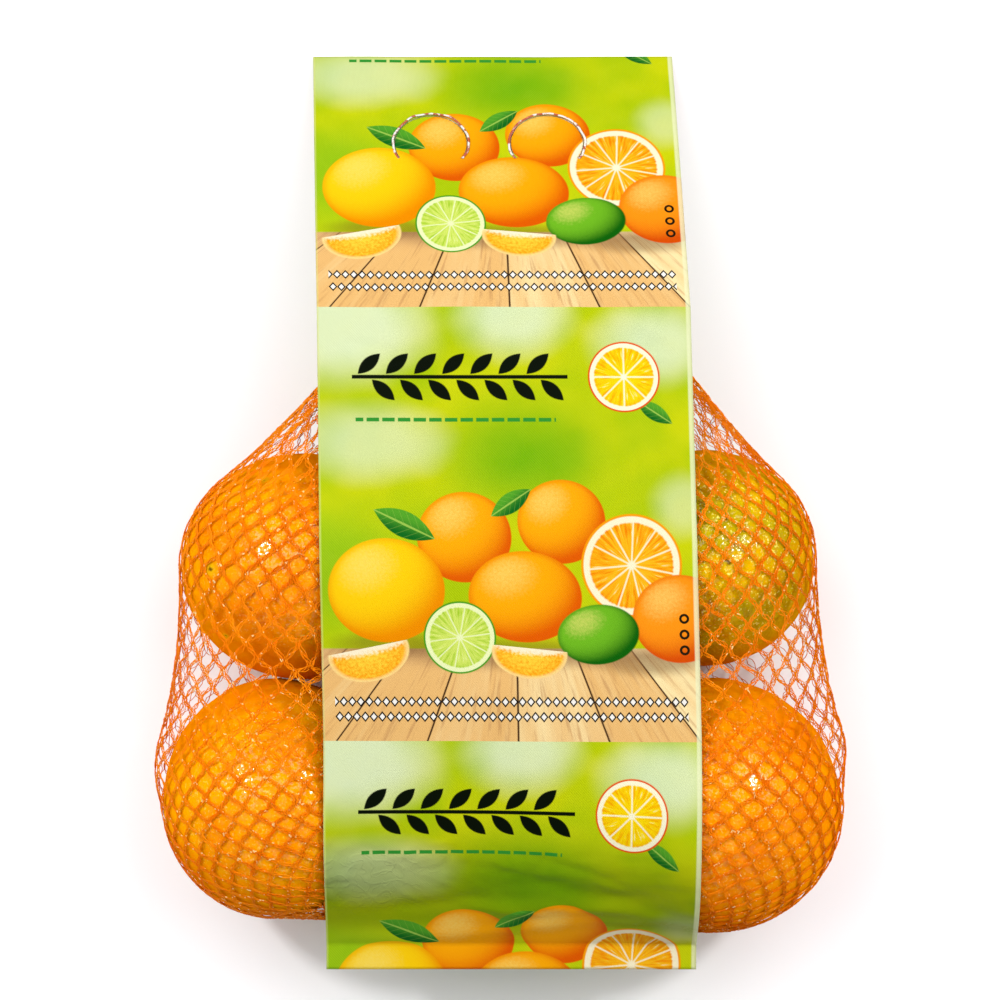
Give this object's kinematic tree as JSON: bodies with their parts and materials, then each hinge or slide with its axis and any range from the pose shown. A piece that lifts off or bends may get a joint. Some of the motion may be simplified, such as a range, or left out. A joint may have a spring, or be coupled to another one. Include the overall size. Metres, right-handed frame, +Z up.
{
  "type": "net of oranges",
  "caption": "Knitted net bag of oranges lying on its back, with a printed film band over front and back that ends in a header with finger slits and a short welded tab.",
  "frame": {"origin": "on the table, under the middle of the whole bag's box", "axes": "+X across the bag, +Y along it from the tab to the header, +Z up off the table"},
  "size_m": [0.2261, 0.3007, 0.0832],
  "materials": {
    "netting": "fine knitted plastic mesh, slightly glossy",
    "printed_film": "thin printed film with a faint woven emboss",
    "orange_peel": "waxy, finely pitted peel"
  },
  "bodies": {
    "root": {"net_of_oranges": "netting", "film_front": "printed_film", "film_back": "printed_film"}
  },
  "joints": []
}
